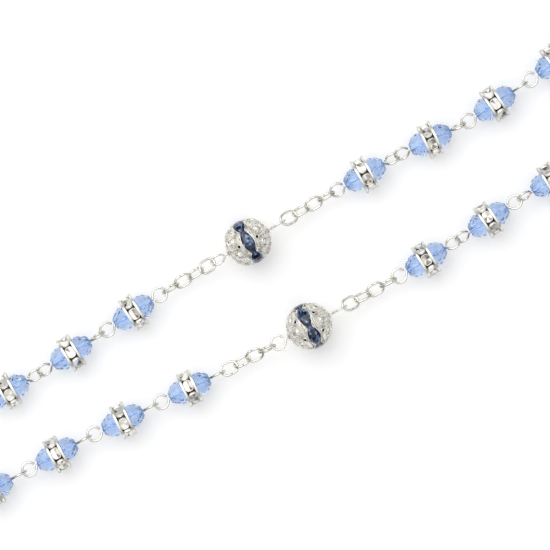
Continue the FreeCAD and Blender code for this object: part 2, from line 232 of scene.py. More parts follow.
def silver_material(name, light, dark, rough, metal=1.0):
    """Bright plated metal with a faint cloudiness and fine dents. A metal under 1 is paler, as satin is."""
    material, tree, shader = new_material(name)
    cloud = noise(tree, 900, 3.0)
    tree.links.new(ramp(tree, cloud, ((0.3, dark), (0.62, light))), shader.inputs["Base Color"])
    tree.links.new(spread(tree, cloud, rough * 0.7, rough * 1.4), shader.inputs["Roughness"])
    shader.inputs["Metallic"].default_value = metal
    shader.inputs["Specular Tint"].default_value = (0.35, 0.35, 0.34, 1.0)
    bump(tree, shader, noise(tree, 2600, 2.0), 0.12, 0.00004)
    return material


def recess_material():
    """Near-black metal that shows between stones: blackened metal, darkened further as painted shade. It is
    also painted shade inside the ball and under the belt.
    """
    material, tree, shader = new_material("blackened_metal_and_painted_shade")
    grain = noise(tree, 2500, 3.0)
    tree.links.new(ramp(tree, grain, ((0.3, (0.006, 0.005, 0.004)), (0.7, (0.035, 0.028, 0.02)))),
                   shader.inputs["Base Color"])
    shader.inputs["Roughness"].default_value = 0.45
    shader.inputs["Metallic"].default_value = 0.4
    return material


def crystal_material():
    """Clear cornflower-blue crystal, a little uneven in its tint, with a faint painted blue glow."""
    material, tree, shader = new_material("blue_crystal_glass")
    tint = noise(tree, 260, 1.0)
    tree.links.new(ramp(tree, tint, ((0.35, (0.48, 0.65, 1.0)), (0.65, (0.64, 0.80, 1.0)))),
                   shader.inputs["Base Color"])
    tree.links.new(spread(tree, noise(tree, 1500, 2.0), 0.0, 0.05), shader.inputs["Roughness"])
    shader.inputs["Transmission Weight"].default_value = 1.0
    # a faint painted blue glow in the glass
    shader.inputs["Emission Color"].default_value = (0.45, 0.5, 0.8, 1.0)
    shader.inputs["Emission Strength"].default_value = 0.05
    shader.inputs["IOR"].default_value = 1.5
    return material


def stone_material(name, stops, metal):
    """A foil-backed stone, its facets coloured with painted light: each draws a painted glint or a painted
    dark reflection at random, for the light that the foil behind it throws or doesn't.
    """
    material, tree, shader = new_material(name)
    # each facet's painted glint or painted dark reflection, read from the mesh
    painted_facet_light = tree.nodes.new("ShaderNodeAttribute")
    painted_facet_light.attribute_name = "painted_facet_light"
    blend = tree.nodes.new("ShaderNodeMath")
    blend.operation = "MULTIPLY_ADD"
    blend.inputs[1].default_value = 0.25
    tree.links.new(noise(tree, 1800, 1.0), blend.inputs[0])
    shade = tree.nodes.new("ShaderNodeMath")
    shade.operation = "SUBTRACT"
    shade.inputs[1].default_value = 0.125
    tree.links.new(painted_facet_light.outputs["Fac"], blend.inputs[2])
    tree.links.new(blend.outputs["Value"], shade.inputs[0])
    tree.links.new(ramp(tree, shade.outputs["Value"], stops), shader.inputs["Base Color"])
    shader.inputs["Metallic"].default_value = metal
    shader.inputs["Roughness"].default_value = 0.08
    shader.inputs["Coat Weight"].default_value = 0.6
    shader.inputs["Coat Roughness"].default_value = 0.02
    return material


SILVER = silver_material("bright_silver", (0.93, 0.91, 0.84), (0.80, 0.78, 0.69), 0.14)
FILIGREE = silver_material("filigree_silver", (1.0, 0.985, 0.94), (0.86, 0.83, 0.74), 0.26, 0.72)
SATIN = silver_material("satin_silver", (1.0, 0.985, 0.94), (0.90, 0.88, 0.82), 0.3, 0.8)
BLACKENED_AND_SHADE = recess_material()
CRYSTAL = crystal_material()
# clear facets: painted dark reflections up to painted white glints
CLEAR = stone_material(
    "clear_stone",
    (
        (0.0, (0.05, 0.04, 0.03)),
        (0.12, (0.34, 0.31, 0.26)),
        (0.34, (0.74, 0.71, 0.64)),
        (0.6, (1.0, 0.99, 0.97)),
    ),
    0.35,
)
# navy facets, with painted steel-blue highlights at the top of the ramp
NAVY = stone_material(
    "navy_stone",
    (
        (0.0, (0.002, 0.003, 0.008)),
        (0.45, (0.004, 0.008, 0.03)),
        (0.78, (0.02, 0.05, 0.15)),
        (1.0, (0.26, 0.38, 0.62)),
    ),
    0.15,
)


# ---------------------------------------------------------------- mesh building


class Piece:
    """Gathers a piece's geometry in millimetres. Materials are numbered by their place in the list given."""

    def __init__(self, *materials):
        self.materials = materials
        self.points = []
        self.faces = []
        self.which = []
        self.smooth = []
        self.tones = []

    def add(self, points, faces, material=0, smooth=True, tones=None):
        first = len(self.points)
        self.points += [tuple(p) for p in points]
        self.faces += [[first + k for k in face] for face in faces]
        self.which += [material] * len(faces)
        self.smooth += [smooth] * len(faces)
        self.tones += tones or [0.5] * len(faces)

    def mesh(self, name):
        mesh = bpy.data.meshes.new(name)
        mesh.from_pydata([[c * MM for c in p] for p in self.points], [], self.faces)
        for material in self.materials:
            mesh.materials.append(material)
        mesh.polygons.foreach_set("material_index", self.which)
        mesh.polygons.foreach_set("use_smooth", self.smooth)
        # each face's painted glint or painted dark reflection, for the stone shaders
        painted_facet_light = mesh.attributes.new("painted_facet_light", "FLOAT", "FACE")
        painted_facet_light.data.foreach_set("value", self.tones)
        work = bmesh.new()
        work.from_mesh(mesh)
        bmesh.ops.recalc_face_normals(work, faces=work.faces)
        work.to_mesh(mesh)
        work.free()
        mesh.update()
        return mesh


def bridge(rings, closed=False):
    """Faces between rings of as many points each, numbered one ring after another."""
    count = len(rings[0])
    pairs = [(k, k + 1) for k in range(len(rings) - 1)]
    if closed:
        pairs.append((len(rings) - 1, 0))
    return [
        [a * count + k, a * count + (k + 1) % count, b * count + (k + 1) % count, b * count + k]
        for a, b in pairs
        for k in range(count)
    ]


def wheel(x, radius, count, turn=0.0):
    """Points round the X axis."""
    angles = [2 * math.pi * k / count + turn for k in range(count)]
    return [Vector((x, radius * math.cos(a), radius * math.sin(a))) for a in angles]


def revolve(piece, outline, segments=48, material=0, smooth=True, closed=True):
    """Turns an (x, r) outline about the X axis."""
    rings = [wheel(x, r, segments) for x, r in outline]
    piece.add([p for ring in rings for p in ring], bridge(rings, closed), material, smooth)


def tube(piece, path, radius, sides=12, closed=False, material=0):
    """Sweeps a round wire along a path of points, with flat cut ends if it is open."""
    count = len(path)
    rings = []
    side = None
    for k, at in enumerate(path):
        before = path[k - 1] if closed or k else at
        after = path[(k + 1) % count] if closed or k < count - 1 else at
        along = (after - before).normalized()
        if side is None:
            side = along.orthogonal().normalized()
        side = (side - along * side.dot(along)).normalized()
        over = along.cross(side)
        turns = [2 * math.pi * j / sides for j in range(sides)]
        rings.append([at + (side * math.cos(t) + over * math.sin(t)) * radius for t in turns])
    faces = bridge(rings, closed)
    if not closed:
        faces += [list(range(sides)), [len(rings) * sides - 1 - j for j in range(sides)]]
    piece.add([p for ring in rings for p in ring], faces, material)


def granule(piece, at, radius, material=0):
    """A solder bead, a small round grain of metal."""
    piece.add([at + p * radius for p in GRAIN_POINTS], GRAIN_FACES, material)


def grain():
    work = bmesh.new()
    bmesh.ops.create_icosphere(work, subdivisions=1, radius=1.0)
    points = [v.co.copy() for v in work.verts]
    faces = [[v.index for v in f.verts] for f in work.faces]
    work.free()
    return points, faces


GRAIN_POINTS, GRAIN_FACES = grain()


def cut_stone(piece, at, along, across, outline, depth, chance, material=0):
    """A faceted stone: its girdle at a point, its crown rising depth above it. outline gives the girdle as
    (along, across) for a share of a turn. chance draws each facet's painted glint or painted dark reflection."""
    out = along.cross(across)
    count = 16
    levels = ((1.0, -0.35, 0.0), (1.0, 0.0, 0.0), (0.8, 0.55, 0.5), (0.55, 0.92, 0.0), (0.27, 1.0, 0.5))
    rings = []
    for share, height, turn in levels:
        ring = []
        for k in range(count):
            u, v = outline((k + turn) / count)
            ring.append(at + along * (u * share) + across * (v * share) + out * (depth * height))
        rings.append(ring)
    points = [p for ring in rings for p in ring]
    faces = bridge(rings[:2])
    for level in range(1, len(rings) - 1):
        near = level * count
        far = near + count
        lead = 1 if levels[level + 1][2] < levels[level][2] else 0
        for k in range(count):
            n = (k + 1) % count
            if lead:
                faces.append([near + k, near + n, far + n])
                faces.append([near + k, far + n, far + k])
            else:
                faces.append([near + k, near + n, far + k])
                faces.append([near + n, far + n, far + k])
    points.append(at + out * depth)
    top = (len(rings) - 1) * count
    faces += [[top + k, top + (k + 1) % count, len(points) - 1] for k in range(count)]
    points.append(at - out * depth * 0.35)
    faces += [[(k + 1) % count, k, len(points) - 1] for k in range(count)]
    tones = [chance() for _ in faces]
    # neighbouring pairs of triangles share a painted glint or dark reflection, as the halves of one facet do
    tones = [tones[k - k % 2] for k in range(len(tones))]
    piece.add(points, faces, material, False, tones)


def round_outline(radius):
    return lambda t: (radius * math.cos(2 * math.pi * t), radius * math.sin(2 * math.pi * t))


def cushion_outline(half_u, half_v, power=0.62):
    """A square with round corners."""
    def outline(t):
        c = math.cos(2 * math.pi * t)
        s = math.sin(2 * math.pi * t)
        return (half_u * math.copysign(abs(c) ** power, c), half_v * math.copysign(abs(s) ** power, s))
    return outline


# ---------------------------------------------------------------- pieces


def rondelle_pair(turn_back, turn_front):
    """Both crystals of a Hail Mary bead, cut in rows of triangular facets round an open bore."""
    piece = Piece(CRYSTAL)
    count = CRYSTAL_SIDES
    half = math.pi / count
    ring_out = [out for out, radius in CRYSTAL_RINGS]
    for side, turn in ((-1, turn_back), (1, turn_front)):
        rings = []
        for k, (out, radius) in enumerate(CRYSTAL_RINGS):
            rings.append(wheel(side * (SPACER_HALF + out), radius, count, turn + half * (k % 2)))
        last = len(rings)
        rings.append(wheel(side * (SPACER_HALF + ring_out[-1]), BORE_R, count, turn + half))
        rings.append(wheel(side * (SPACER_HALF + ring_out[0]), BORE_R, count, turn))
        faces = []
        for k in range(last - 1):
            near = k * count
            far = near + count
            for j in range(count):
                n = (j + 1) % count
                if k % 2:
                    faces.append([near + j, near + n, far + n])
                    faces.append([near + j, far + n, far + j])
                else:
                    faces.append([near + j, near + n, far + j])
                    faces.append([near + n, far + n, far + j])
        for a, b in ((last - 1, last), (last, last + 1), (last + 1, 0)):
            faces += [
                [a * count + j, a * count + (j + 1) % count, b * count + (j + 1) % count, b * count + j]
                for j in range(count)
            ]
        piece.add([p for ring in rings for p in ring], faces, 0, False)
    return piece


def spacer(piece):
    """The rhinestone spacer's metal: two rounded rims, a near-black core of blackened metal with painted
    shade between the stones, and a cup for each stone.
    """
    inner = SPACER_HALF - SPACER_RIM
    lip = 0.09
    for side in (-1, 1):
        outline = (
            (SPACER_HALF, 1.0),
            (SPACER_HALF, SPACER_R - lip),
            (SPACER_HALF - 0.3 * lip, SPACER_R - 0.3 * lip),
            (SPACER_HALF - lip, SPACER_R),
            (inner + lip, SPACER_R),
            (inner + 0.3 * lip, SPACER_R - 0.3 * lip),
            (inner, SPACER_R - lip),
            (inner, 1.0),
        )
        revolve(piece, [(side * x, r) for x, r in outline], 64, 2)
    # the core's near-black is blackened metal plus painted shade in the gaps between the stones
    core = ((inner, BORE_R), (inner, SPACER_CORE_R), (-inner, SPACER_CORE_R), (-inner, BORE_R))
    revolve(piece, core, 42, 1, False)
    outline = cushion_outline(1.4, 1.08)
    for k in range(SPACER_STONES):
        along, across, out = stone_axes(2 * math.pi * k / SPACER_STONES)
        rings = []
        for share, height in ((1.0, 3.2), (1.0, 3.86), (0.93, 3.92), (0.86, 3.86), (0.86, 3.3)):
            ring = []
            for j in range(24):
                u, v = outline(j / 24)
                ring.append(along * (u * share) + across * (v * share) + out * height)
            rings.append(ring)
        piece.add([p for ring in rings for p in ring], bridge(rings), 2)


def stone_axes(angle):
    """Along the rim, across it and outwards, at an angle round the X axis from straight up."""
    out = Vector((0, math.sin(angle), math.cos(angle)))
    across = Vector((1, 0, 0))
    return across.cross(out), across, out


def spacer_stones(seed):
    piece = Piece(CLEAR)
    chance = random.Random(seed).random
    outline = cushion_outline(1.28, 0.98, 0.7)
    for k in range(SPACER_STONES):
        along, across, out = stone_axes(2 * math.pi * k / SPACER_STONES)
        cut_stone(piece, out * 3.72, along, across, outline, -0.34, chance)
    return piece


def bent_eye(piece, eye_x, reach_in, roll):
    """A simple loop: the wire leaves the bead, kinks aside and runs round until its end meets its stem."""
    turn = math.radians(roll)
    level = Vector((0, math.cos(turn), math.sin(turn)))
    forward = Vector((1, 0, 0))
    middle = forward * eye_x
    start = math.radians(146)
    end = math.radians(-160)
    steps = 40
    path = [forward * x for x in (reach_in, eye_x - EYE_R - 0.62, eye_x - EYE_R - 0.4)]
    path.append(forward * (eye_x - EYE_R - 0.1) + level * 0.36)
    for k in range(steps + 1):
        a = start + (end - start) * k / steps
        path.append(middle + (forward * math.cos(a) + level * math.sin(a)) * EYE_R)
    tube(piece, path, EYE_WIRE_R, 12)


def turned(piece, matrix):
    piece.points = [tuple(matrix @ Vector(p)) for p in piece.points]
    return piece


def eye_pin(piece, eye_x, inside, back_roll, front_roll):
    """The wire through a bead with an eye at each end."""
    tube(piece, [Vector((-inside, 0, 0)), Vector((0, 0, 0)), Vector((inside, 0, 0))], EYE_WIRE_R, 12)
    front = Piece()
    bent_eye(front, eye_x, inside - 0.2, front_roll)
    piece.add(front.points, front.faces)
    back = Piece()
    bent_eye(back, eye_x, inside - 0.2, -back_roll)
    turned(back, Matrix.Rotation(math.pi, 4, "Z"))
    piece.add(back.points, back.faces)


def bead_silver(back_roll, front_roll, spacer_turn):
    piece = Piece(SILVER, BLACKENED_AND_SHADE, SATIN)
    spacer(piece)
    turned(piece, Matrix.Rotation(math.radians(spacer_turn), 4, "X"))
    eye_pin(piece, BEAD_EYE_X, SPACER_HALF + 3.4, back_roll, front_roll)
    return piece


def navette_half_width(t):
    """Half the width of a belt stone along its length, from its middle at 0 to a blunt tip at 1."""
    return 0.6 + 0.88 * math.cos(math.pi / 2 * min(1.0, t)) ** 0.75


def belt_stones(seed):
    """The six blunt navettes round the ball, each a curved stone of long facets."""
    piece = Piece(NAVY)
    chance = random.Random(seed).random
    reach = math.pi / NAVETTES - 0.006
    rows = 6
    # across the stone: share of the half width, and height above the seat
    section = (
        (-1.0, 4.75), (-1.0, 5.4), (-0.62, 5.64), (-0.2, 5.7),
        (0.3, 5.7), (0.68, 5.62), (1.0, 5.4), (1.0, 4.75),
    )
    for k in range(NAVETTES):
        middle = 2 * math.pi * k / NAVETTES
        rings = []
        for row in range(rows + 1):
            t = -1 + 2 * row / rows
            angle = middle + reach * t
            out = Vector((0, math.sin(angle), math.cos(angle)))
            wide = navette_half_width(abs(t))
            drop = 0.16 * abs(t) ** 3
            rings.append([Vector((share * wide, 0, 0)) + out * (h - drop) for share, h in section])
        count = len(section)
        faces = []
        for a in range(rows):
            for j in range(count - 1):
                p = a * count + j
                q = p + count
                if (a + j) % 2:
                    faces += [[p, p + 1, q + 1], [p, q + 1, q]]
                else:
                    faces += [[p, p + 1, q], [p + 1, q + 1, q]]
            faces.append([a * count + count - 1, a * count, (a + 1) * count, (a + 1) * count + count - 1])
        faces += [list(range(count)), [rows * count + count - 1 - j for j in range(count)]]
        # each facet draws its painted glint or painted dark reflection at random
        piece.add([p for ring in rings for p in ring], faces, 0, False, [chance() for _ in faces])
    return piece


def on_ball(radius, from_axis, around, side):
    """A point at an angle from the bore's axis and an angle round it, on one side."""
    return Vector((
        side * radius * math.cos(from_axis),
        radius * math.sin(from_axis) * math.sin(around),
        radius * math.sin(from_axis) * math.cos(around),
    ))


def ring_on_ball(piece, centre, radius, wire, sides=8, steps=20, lift=0.0):
    """A wire ring lying on the ball round a point."""
    out = centre.normalized()
    u = out.orthogonal().normalized()
    v = out.cross(u)
    path = []
    for k in range(steps):
        a = 2 * math.pi * k / steps
        p = centre + (u * math.cos(a) + v * math.sin(a)) * radius
        path.append(p.normalized() * (centre.length + lift))
    tube(piece, path, wire, sides, True)


def grains_on_ball(piece, centre, radius, count, size, turn=0.0):
    out = centre.normalized()
    u = out.orthogonal().normalized()
    v = out.cross(u)
    for k in range(count):
        a = 2 * math.pi * k / count + turn
        p = centre + (u * math.cos(a) + v * math.sin(a)) * radius
        granule(piece, p.normalized() * centre.length, size)


def dome_places(side):
    """Where the round stones of one dome sit, as (angle from the axis, angle round it)."""
    turn = math.pi / DOME_STONES
    return [(math.radians(47), 2 * math.pi * k / DOME_STONES + turn) for k in range(DOME_STONES)]


def father_silver(back_roll, front_roll):
    """The filigree ball: two shells of ring-work and grains over a dark inner ball, painted shade where the
    hollow shows, a walled belt and collars.
    """
    piece = Piece(FILIGREE, BLACKENED_AND_SHADE)
    # the dark inner ball: painted shade that shows through the shells' openings
    angles = [math.radians(8 + 164 * k / 24) for k in range(25)]
    inner = [(INSIDE_R * math.cos(a), INSIDE_R * math.sin(a)) for a in angles]
    revolve(piece, inner, 48, 1, True, False)
    for side in (-1, 1):
        perforated(piece, side)
        for from_axis, around in dome_places(side):
            at = on_ball(SETTING_R, from_axis, around, side)
            ring_on_ball(piece, at, 1.18, 0.2)
            grains_on_ball(piece, at, 1.5, 14, 0.2)
        for k in range(DOME_STONES):
            around = 2 * math.pi * k / DOME_STONES
            high = on_ball(SETTING_R - 0.05, math.radians(63), around, side)
            ring_on_ball(piece, high, 0.5, 0.16, 6, 14)
            low = on_ball(SETTING_R - 0.05, math.radians(29), around, side)
            ring_on_ball(piece, low, 0.42, 0.15, 6, 14)
            for from_axis, size in ((46, 0.28), (39, 0.2), (53, 0.2)):
                granule(piece, on_ball(SETTING_R - 0.02, math.radians(from_axis), around, side), size)
        for k in range(18):
            granule(piece, on_ball(SETTING_R - 0.05, math.radians(19), 2 * math.pi * k / 18, side), 0.19)
        collar = (
            (5.0, 0.4), (5.62, 0.4), (5.72, 0.55), (5.72, 0.8),
            (5.6, 0.95), (5.35, 1.0), (5.2, 1.3), (5.0, 1.35),
        )
        revolve(piece, [(side * x, r) for x, r in collar], 24)
        edge = BELT_HALF + 0.12
        rim_r = math.sqrt(SETTING_R ** 2 - edge ** 2)
        tube(piece, [p for p in wheel(side * edge, rim_r, 72)], 0.17, 6, True)
    belt_walls(piece)
    eye_pin(piece, FATHER_EYE_X, 5.6, back_roll, front_roll)
    return piece


def perforated(piece, side):
    """One dome's shell, open where the rings between its stones lie."""
    openings = []
    for k in range(DOME_STONES):
        around = 2 * math.pi * k / DOME_STONES
        openings.append((on_ball(1.0, math.radians(63), around, side), 0.5 / SHELL_R))
        openings.append((on_ball(1.0, math.radians(29), around, side), 0.42 / SHELL_R))
    rows = 26
    columns = 96
    first = math.radians(10)
    last = math.radians(72)
    rings = []
    for row in range(rows + 1):
        from_axis = first + (last - first) * row / rows
        rings.append([on_ball(SHELL_R, from_axis, 2 * math.pi * c / columns, side) for c in range(columns)])
    points = [p for ring in rings for p in ring]
    kept = []
    for face in bridge(rings):
        middle = sum((points[k] for k in face), Vector()).normalized()
        if all(middle.angle(at) > wide for at, wide in openings):
            kept.append(face)
    piece.add(points, kept)


def belt_walls(piece):
    """The bright wall round each navette, and the metal that fills in between their tips."""
    reach = math.pi / NAVETTES - 0.02
    steps = 10
    for k in range(NAVETTES):
        middle = 2 * math.pi * k / NAVETTES
        for side in (-1, 1):
            path = []
            for row in range(steps + 1):
                t = -1 + 2 * row / steps
                angle = middle + reach * t
                out = Vector((0, math.sin(angle), math.cos(angle)))
                wide = navette_half_width(abs(t)) + 0.06
                path.append(Vector((side * wide, 0, 0)) + out * (5.28 - 0.08 * t * t))
            tube(piece, path, 0.17, 6)
            tip = middle + math.pi / NAVETTES
            out = Vector((0, math.sin(tip), math.cos(tip)))
            for x, r, size in ((1.05, 5.05, 0.3), (1.45, 5.0, 0.26)):
                granule(piece, Vector((side * x, 0, 0)) + out * r, size)
    edge = BELT_HALF + 0.15
    revolve(piece, ((-edge, 4.7), (-edge, 5.02), (-0.7, 5.02), (-0.7, 4.7)), 72)
    revolve(piece, ((edge, 4.7), (edge, 5.02), (0.7, 5.02), (0.7, 4.7)), 72)
    # a dark band under the navettes, painted shade that shows where their tips part
    revolve(piece, ((-0.7, 4.6), (-0.7, 4.9), (0.7, 4.9), (0.7, 4.6)), 72, 1)


def dome_stones(seed):
    """The round clear stones set in both domes."""
    piece = Piece(CLEAR)
    chance = random.Random(seed).random
    for side in (-1, 1):
        for from_axis, around in dome_places(side):
            at = on_ball(SETTING_R - 0.12, from_axis, around, side)
            out = at.normalized()
            u = out.orthogonal().normalized()
            cut_stone(piece, at, u, out.cross(u), round_outline(1.08), 0.4, chance)
    return piece


def link():
    """An oval wire link whose ends meet in a seam halfway along one side."""
    piece = Piece(SILVER)
    s = LINK_STRAIGHT
    r = LINK_END_R
    path = [Vector((SEAM / 2, -r, 0)), Vector((s / 2, -r, 0))]
    for middle, start in ((s, -90), (-s, 90)):
        for k in range(17):
            a = math.radians(start + 180 * k / 16)
            path.append(Vector((middle + r * math.cos(a), r * math.sin(a), 0)))
        if middle > 0:
            path.append(Vector((0, r, 0)))
    path += [Vector((-s / 2, -r, 0)), Vector((-SEAM / 2, -r, 0))]
    tube(piece, path, LINK_WIRE_R, 12)
    return piece


# ---------------------------------------------------------------- placing


def solids(node):
    """The corner points of each separate solid in a CAD node, in millimetres."""
    work = bmesh.new()
    work.from_mesh(frame["nodes"][node].data)
    bmesh.ops.remove_doubles(work, verts=work.verts, dist=1e-6)
    found = []
    left = set(work.verts)
    while left:
        seed = left.pop()
        group = [seed]
        queue = [seed]
        while queue:
            for edge in queue.pop().link_edges:
                for vert in edge.verts:
                    if vert in left:
                        left.remove(vert)
                        group.append(vert)
                        queue.append(vert)
        found.append(np.array([v.co for v in group], float) / MM)
    work.free()
    return found


def middle_of(points):
    return Vector((points.min(0) + points.max(0)) / 2)


def reach_of(points):
    """How far the farthest point is from the mean of them all."""
    return np.linalg.norm(points - points.mean(0), axis=1).max()


def thin_axis(points):
    """The direction in which a cloud of points is thinnest."""
    return Vector(np.linalg.eigh(np.cov(points.T))[1][:, 0])


def long_axis(points):
    """The direction in which a cloud of points is longest."""
    return Vector(np.linalg.eigh(np.cov(points.T))[1][:, -1])


def standing(along):
    """The axes of something that lies along a direction with its own Z as near up as can be."""
    across = UP.cross(along).normalized()
    return along, across, along.cross(across)


def matrix_of(axes, middle):
    x, y, z = axes
    turn = Matrix((x, y, z)).transposed().to_4x4()
    return Matrix.Translation(middle * MM) @ turn


def roll_of(normal, axes):
    """A ring's roll about X: 0 where it lies level, 90 where it stands, from -90 to 90."""
    along, across, over = axes
    angle = math.degrees(math.atan2(-normal.dot(across), normal.dot(over)))
    return (angle + 90) % 180 - 90


def hinge_of(body):
    found = [j for j in frame["joints"] if j["child"] == body]
    return Vector(found[0]["pos_m"]) / MM


MESHES = {}


def shared(key, make):
    """One mesh for all the pieces that are made alike."""
    if key not in MESHES:
        MESHES[key] = make().mesh("_".join(str(part) for part in key))
    return MESHES[key]


def outside(mesh, matrix):
    """Whether the turned box round a mesh pokes out of the whole object's box."""
    points = [v.co for v in mesh.vertices]
    low = [min(p[k] for p in points) for k in range(3)]
    high = [max(p[k] for p in points) for k in range(3)]
    corners = [matrix @ Vector((x, y, z)) for x in (low[0], high[0]) for y in (low[1], high[1])
               for z in (low[2], high[2])]
    return any(c[k] < cad_low[k] or c[k] > cad_high[k] for c in corners for k in range(3))


def place(name, mesh, matrix, body, node, slot):
    """Puts a piece in the scene. With a node it stands for that CAD node, and without one it adds to it."""
    if outside(mesh, matrix):
        mesh = mesh.copy()
        mesh.transform(matrix.to_3x3().to_4x4())
        matrix = Matrix.Translation(matrix.translation)
    piece = bpy.data.objects.new(name, mesh)
    bpy.context.scene.collection.objects.link(piece)
    piece.matrix_world = matrix
    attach(piece, body)
    if node:
        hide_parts(node)
    return piece


def pin_axes(pin, middle, hinge):
    """A pin's own axes, running away from its body's hinge, and the rolls of its back and front eyes."""
    along = long_axis(pin)
    if (middle - hinge).dot(along) < 0:
        along = -along
    axes = standing(along)
    run = (pin - np.array(middle)) @ np.array(along)
    far = run.max() - 2 * (EYE_R + EYE_WIRE_R) * 0.8
    rolls = [roll_of(thin_axis(pin[sign * run > far]), axes) for sign in (-1, 1)]
    return axes, [round(r) for r in rolls]


def nearest(pins, middle):
    return min(pins, key=lambda pin: (middle_of(pin) - middle).length)


def dress_beads(node, body, chance):
    """Every Hail Mary bead in a node, as crystals, silver and stones."""
    parts = solids(node)
    lengths = [reach_of(points) for points in parts]
    # a spacer's solid includes the rondelles, whose bores it shares
    pins = [p for p, far in zip(parts, lengths) if far > 8]
    spacers = [p for p, far in zip(parts, lengths) if 4 < far < 7]
    hinge = hinge_of(body)
    spacers.sort(key=lambda p: (middle_of(p) - hinge).length)
    for k, spacer_points in enumerate(spacers, 1):
        middle = middle_of(spacer_points)
        axes, (back, front) = pin_axes(nearest(pins, middle), middle, hinge)
        back += EYE_TURNS.get(node, 0)
        front += EYE_TURNS.get(CHILD_OF.get(node), 0)
        at = matrix_of(axes, middle)
        name = node if len(spacers) == 1 else f"{node}_{k}"
        tilt = Matrix.Rotation(math.radians(chance.uniform(0, 40)), 4, "X")
        place(f"{name}_crystals", shared(("crystals",), lambda: rondelle_pair(0.0, 0.3)), at @ tilt,
              body, node, "blue_crystal")
        step = 360 / SPACER_STONES
        turn = SPACER_TURNS.get(node, round(chance.uniform(0, step) / 8) * 8)
        place(f"{name}_silver", shared(("bead_silver", back, front, turn),
                                       lambda: bead_silver(back, front, turn)), at, body, node, "silver")
        variant = chance.randrange(5)
        spin = Matrix.Rotation(math.radians(turn), 4, "X")
        place(f"{name}_stones", shared(("spacer_stones", variant), lambda: spacer_stones(variant)), at @ spin,
              body, node, "clear_crystal")


def dress_father(node, body, seed):
    parts = solids(node)
    lengths = [reach_of(points) for points in parts]
    pin = parts[int(np.argmax(lengths))]
    ball = [p for p, far in zip(parts, lengths) if 5 < far < 7][0]
    middle = middle_of(ball)
    axes, (back, front) = pin_axes(pin, middle, hinge_of(body))
    back += EYE_TURNS.get(node, 0)
    front += EYE_TURNS.get(CHILD_OF.get(node), 0)
    at = matrix_of(axes, middle)
    belt = Matrix.Rotation(math.radians(BELT_TURNS.get(node, 0)), 4, "X")
    place(f"{node}_silver", shared(("father_silver", back, front, BELT_TURNS.get(node, 0)),
                                   lambda: rolled_father(back, front, BELT_TURNS.get(node, 0))),
          at, body, node, "silver")
    for part, made, slot in (
        ("navettes", belt_stones(seed), "navy_crystal"),
        ("stones", dome_stones(seed), "clear_crystal"),
    ):
        name = f"{node}_{part}"
        place(name, turned(made, belt).mesh(name), at, body, node, slot)


def rolled_father(back, front, turn):
    """The ball turned on its pin, the eyes staying as they are."""
    piece = father_silver(back - turn, front - turn)
    return turned(piece, Matrix.Rotation(math.radians(turn), 4, "X"))


def dress_chain(node, body):
    hinge = hinge_of(body)
    parts = sorted(solids(node), key=lambda p: (middle_of(p) - hinge).length)
    for k, points in enumerate(parts, 1):
        along = long_axis(points)
        normal = thin_axis(points)
        if (middle_of(points) - hinge).dot(along) < 0:
            along = -along
        axes = (along, normal.cross(along), normal)
        turn = Matrix.Rotation(math.radians(LINK_TURNS[(k - 1) % len(LINK_TURNS)]), 4, "X")
        place(f"{node}_link_{k}", shared(("link",), link), matrix_of(axes, middle_of(points)) @ turn,
              body, node, "silver")


def oval(half_u, half_v):
    return lambda t: (half_u * math.cos(2 * math.pi * t), half_v * math.sin(2 * math.pi * t))


def bezel(piece, at, outline, wire, steps=28):
    """A low wall of wire round a stone that lies level."""
    path = [at + Vector((*outline(k / steps), 0)) for k in range(steps)]
    tube(piece, path, wire, 8, True)


def milgrain(piece, first, last, size=0.2):
    """A straight row of grains."""
    count = max(1, round((last - first).length / (size * 2.3)))
    for k in range(count + 1):
        granule(piece, first.lerp(last, k / count), size)


def cross_trim():
    """Beaded edges and bezels on the cross's face, its middle where stem and beam cross."""
    piece = Piece(SATIN)
    for x, y, radius in CROSS_STONES:
        bezel(piece, Vector((x, y, 0.2)), round_outline(radius + 0.12), 0.2)
    for x, y in CROSS_ENDS:
        for k in range(18):
            a = 2 * math.pi * k / 18
            granule(piece, Vector((x + 2.35 * math.cos(a), y + 2.35 * math.sin(a), 0.1)), 0.2)
    for side in (-1, 1):
        y = side * CROSS_EDGE
        milgrain(piece, Vector((CROSS_EDGE + 0.5, y, 0.1)), Vector((18.3, y, 0.1)))
        milgrain(piece, Vector((-CROSS_EDGE - 0.5, y, 0.1)), Vector((-6.4, y, 0.1)))
        for end in (-1, 1):
            milgrain(piece, Vector((end * CROSS_EDGE, side * (CROSS_EDGE + 0.5), 0.1)),
                     Vector((end * CROSS_EDGE, side * 5.4, 0.1)))
    return piece


def cross_stones(picked, material, seed):
    piece = Piece(material)
    chance = random.Random(seed).random
    for x, y, radius in picked:
        cut_stone(piece, Vector((x, y, 0.05)), AHEAD, ASIDE, round_outline(radius), 0.45, chance)
    return piece


def dress_cross(node, body):
    """Trim and stones on the face of the plain CAD cross."""
    points = solids(node)[0]
    along = long_axis(points)
    along.z = 0
    along.normalize()
    middle = middle_of(points)
    if (middle - hinge_of(body)).dot(along) < 0:
        along = -along
    across = UP.cross(along)
    u = points @ np.array(along)
    v = points @ np.array(across)
    centre_v = (v.min() + v.max()) / 2
    arm_ends = u[abs(v - centre_v) > (v.max() - v.min()) / 2 - 1.0]
    centre_u = (arm_ends.min() + arm_ends.max()) / 2
    face = points[u > u.max() - 5][:, 2].max()
    at = matrix_of((along, across, UP), along * centre_u + across * centre_v + UP * face)
    place("cross_trim", cross_trim().mesh("cross_trim"), at, body, None, "silver")
    large = [s for s in CROSS_STONES if s[2] > 1.2]
    small = [s for s in CROSS_STONES if s[2] < 1.2]
    place("cross_navy_stones", cross_stones(large, NAVY, 31).mesh("cross_navy_stones"), at, body, None,
          "navy_crystal")
    place("cross_clear_stones", cross_stones(small, CLEAR, 32).mesh("cross_clear_stones"), at, body, None,
          "clear_crystal")


